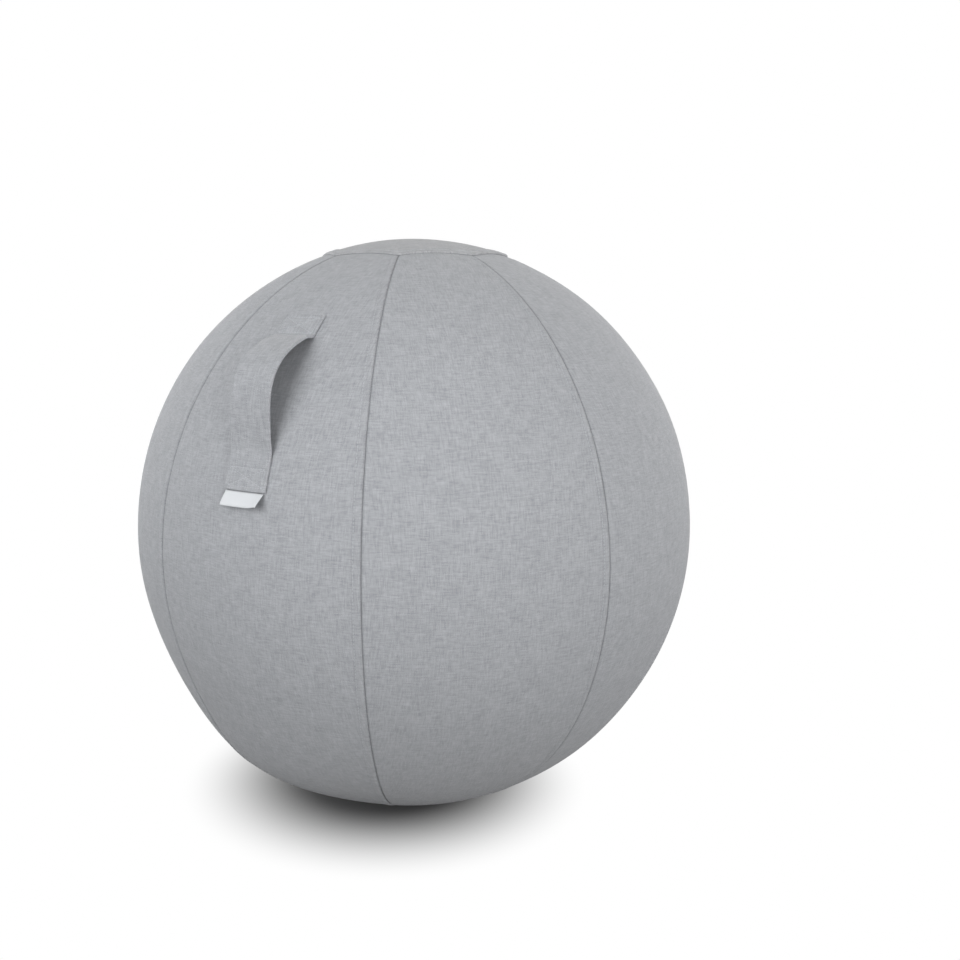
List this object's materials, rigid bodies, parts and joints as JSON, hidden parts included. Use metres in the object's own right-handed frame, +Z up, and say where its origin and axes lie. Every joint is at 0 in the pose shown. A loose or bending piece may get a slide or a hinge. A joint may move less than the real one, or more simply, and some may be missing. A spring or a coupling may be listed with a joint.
{
  "type": "balance ball chair",
  "caption": "Air-filled sitting ball in a zipped linen-look cover of sewn gores, with a top cap, a carry handle and a flat resting spot.",
  "frame": {"origin": "centre of the flat spot that the ball rests on, at floor level", "axes": "+Z up through the cap; the carry handle is on the -Y side, on the plane x = 0; +X is to the right of somebody facing the handle"},
  "size_m": [0.65, 0.6508, 0.6588],
  "materials": {
    "cover_fabric": "matte",
    "cap_fabric": "matte",
    "base_fabric": "matte",
    "strap_fabric": "matte",
    "lining_fabric": "matte",
    "thread": "satin",
    "tag_ribbon": "satin",
    "zip_tape": "matte",
    "zip_coil": "satin",
    "zip_metal": "satin",
    "ball_vinyl": "satin",
    "valve_plastic": "satin",
    "ring_grains": "matte"
  },
  "bodies": {
    "ball": {"gore_panel_1": "cover_fabric", "seam_topstitch_1": "thread", "gore_panel_2": "cover_fabric", "seam_topstitch_2": "thread", "gore_panel_3": "cover_fabric", "seam_topstitch_3": "thread", "gore_panel_4": "cover_fabric", "seam_topstitch_4": "thread", "gore_panel_5": "cover_fabric", "seam_topstitch_5": "thread", "gore_panel_6": "cover_fabric", "seam_topstitch_6": "thread", "gore_panel_7": "cover_fabric", "seam_topstitch_7": "thread", "gore_panel_8": "cover_fabric", "seam_topstitch_8": "thread", "top_cap": "cap_fabric", "top_cap_stitching": "thread", "base_panel": "base_fabric", "base_panel_stitching": "thread", "handle_upper_end": "strap_fabric", "handle_lower_end": "strap_fabric", "handle_upper_stitching": "thread", "handle_lower_stitching": "thread", "handle_upper_reinforcement": "lining_fabric", "handle_lower_reinforcement": "lining_fabric", "zip_tape_west": "zip_tape", "zip_tape_east": "zip_tape", "zip_coil_west": "zip_coil", "zip_coil_east": "zip_coil", "zip_top_stops": "zip_metal", "zip_bottom_stop": "zip_metal", "zip_stitching": "thread", "weight_ring_casing": "lining_fabric", "weight_ring_filling": "ring_grains", "inner_ball": "ball_vinyl", "valve_plug": "valve_plastic"},
    "zip_slider": {"zip_slider_body": "zip_metal", "zip_slider_bridge": "zip_metal"},
    "zip_pull": {"zip_pull": "zip_metal"},
    "handle": {"handle_loop": "strap_fabric"},
    "tag": {"blank_tag": "tag_ribbon"}
  },
  "joints": [
    {"name": "zip_run", "type": "hinge", "parent": "ball", "child": "zip_slider", "pos_m": [0.00271, -0.00654, 0.32656], "axis": [-0.9239, -0.3827, 0], "range_deg": [0, 56.42]},
    {"name": "zip_pull_flip", "type": "hinge", "parent": "zip_slider", "child": "zip_pull", "pos_m": [-0.12264, 0.29607, 0.39627], "axis": [0.9239, 0.3827, 0], "range_deg": [0, 175]},
    {"name": "handle_lift", "type": "slide", "parent": "ball", "child": "handle", "axis": [0, -0.8587, 0.5125], "range_m": [0, 0.008]},
    {"name": "tag_flap", "type": "hinge", "parent": "ball", "child": "tag", "pos_m": [0, -0.31611, 0.40627], "axis": [-1, 0, 0], "range_deg": [-20, 73]}
  ]
}
